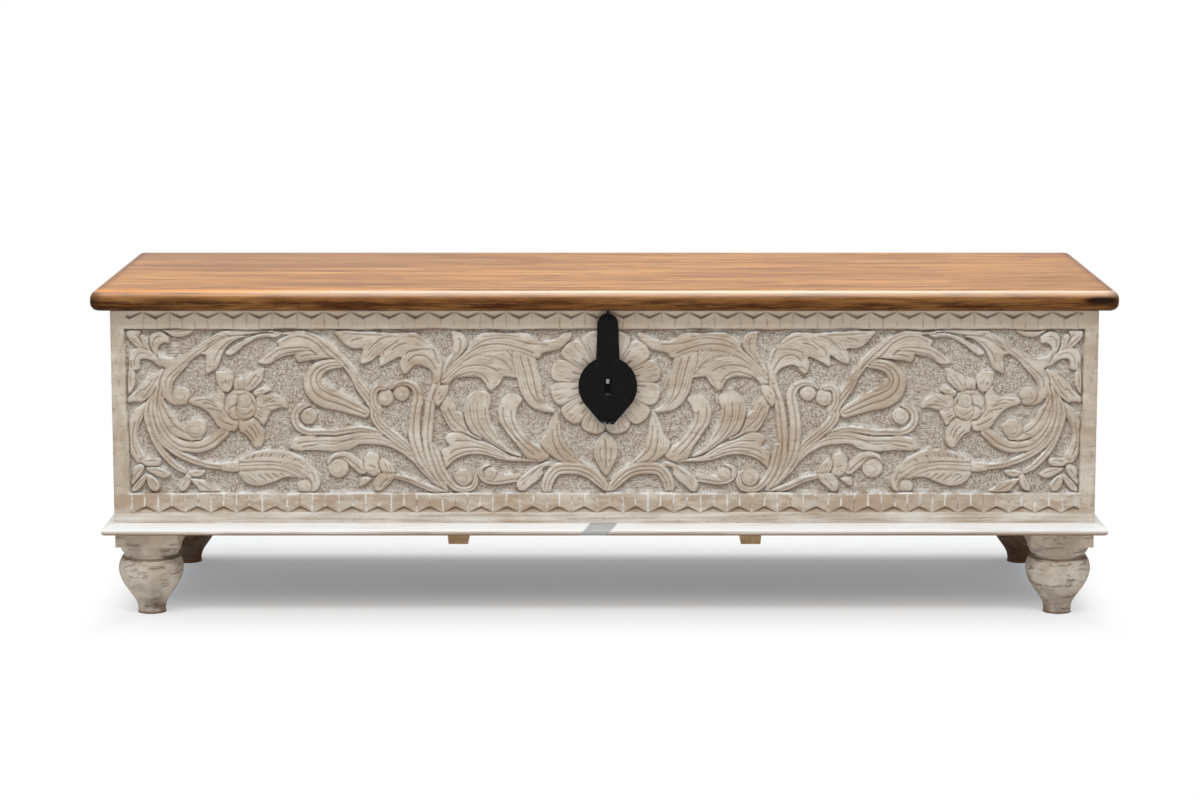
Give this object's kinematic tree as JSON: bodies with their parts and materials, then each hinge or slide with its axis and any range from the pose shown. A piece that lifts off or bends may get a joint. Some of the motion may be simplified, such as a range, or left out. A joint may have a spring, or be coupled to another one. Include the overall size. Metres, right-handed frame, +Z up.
{
  "type": "carved storage trunk",
  "caption": "Low carved wooden storage trunk with a whitewashed relief front, rounded board lid on hinges, iron hasp and turned feet.",
  "frame": {"origin": "centre of the trunk on the floor it stands on", "axes": "+X to the right along the length as seen from the carved front, +Y from the carved front to the hinged back, +Z up"},
  "size_m": [1.376, 0.48, 0.45],
  "materials": {
    "whitewashed_wood": "matte limewash over carved wood",
    "lid_wood": "satin waxed",
    "plain_wood": "planed, unfinished",
    "black_iron": "blackened, waxed",
    "iron_screw": "dull, darkened"
  },
  "bodies": {
    "case": {"front_panel": "whitewashed_wood", "back_panel": "whitewashed_wood", "side_panel_left": "whitewashed_wood", "side_panel_right": "whitewashed_wood", "panel_dowels": "plain_wood", "floor_board_front": "plain_wood", "floor_board_middle": "plain_wood", "floor_board_back": "plain_wood", "floor_bearer_left": "plain_wood", "floor_bearer_right": "plain_wood", "bearer_screws": "iron_screw", "base_moulding_front": "whitewashed_wood", "base_moulding_back": "whitewashed_wood", "base_moulding_left": "whitewashed_wood", "base_moulding_right": "whitewashed_wood", "foot_front_left": "whitewashed_wood", "corner_block_front_left": "plain_wood", "foot_front_right": "whitewashed_wood", "corner_block_front_right": "plain_wood", "foot_back_left": "whitewashed_wood", "corner_block_back_left": "plain_wood", "foot_back_right": "whitewashed_wood", "corner_block_back_right": "plain_wood", "foot_studs": "iron_screw", "hinge_case_leaf_left": "black_iron", "hinge_pin_left": "black_iron", "hinge_case_leaf_centre": "black_iron", "hinge_pin_centre": "black_iron", "hinge_case_leaf_right": "black_iron", "hinge_pin_right": "black_iron", "hinge_case_screws": "iron_screw", "hasp_staple": "black_iron", "staple_plate": "black_iron", "stay_stud_left": "black_iron", "stay_stud_right": "black_iron"},
    "lid": {"hinge_lid_leaf_left": "black_iron", "lid_batten_left": "plain_wood", "hinge_lid_leaf_centre": "black_iron", "lid_batten_centre": "plain_wood", "hinge_lid_leaf_right": "black_iron", "lid_batten_right": "plain_wood", "lid_board_front": "lid_wood", "lid_board_middle": "lid_wood", "lid_board_back": "lid_wood", "lid_batten_screws": "iron_screw", "hinge_lid_screws": "iron_screw", "hasp_eye": "black_iron", "stay_bracket_left": "black_iron", "stay_bracket_right": "black_iron", "stay_rivet_left": "black_iron", "stay_rivet_right": "black_iron", "stay_bracket_screws": "iron_screw"},
    "hasp": {"hasp_plate": "black_iron"},
    "stay_left": {"stay_arm_left": "black_iron"},
    "stay_right": {"stay_arm_right": "black_iron"}
  },
  "joints": [
    {"name": "lid_hinge", "type": "hinge", "parent": "case", "child": "lid", "pos_m": [0, 0.2214, 0.4176], "axis": [-1, 0, 0], "range_deg": [0, 95]},
    {"name": "hasp_swing", "type": "hinge", "parent": "lid", "child": "hasp", "pos_m": [0.0045, -0.224, 0.415], "axis": [-1, 0, 0], "range_deg": [0, 85]},
    {"name": "stay_pivot_left", "type": "hinge", "parent": "lid", "child": "stay_left", "pos_m": [-0.63875, 0.0817, 0.408], "axis": [-1, 0, 0], "range_deg": [-48, 0]},
    {"name": "stay_pivot_right", "type": "hinge", "parent": "lid", "child": "stay_right", "pos_m": [0.63875, 0.0817, 0.408], "axis": [-1, 0, 0], "range_deg": [-48, 0]}
  ],
  "couplings": [
    {"joint": "stay_pivot_left", "follows": "lid_hinge", "ratio": -0.5},
    {"joint": "stay_pivot_right", "follows": "lid_hinge", "ratio": -0.5}
  ]
}
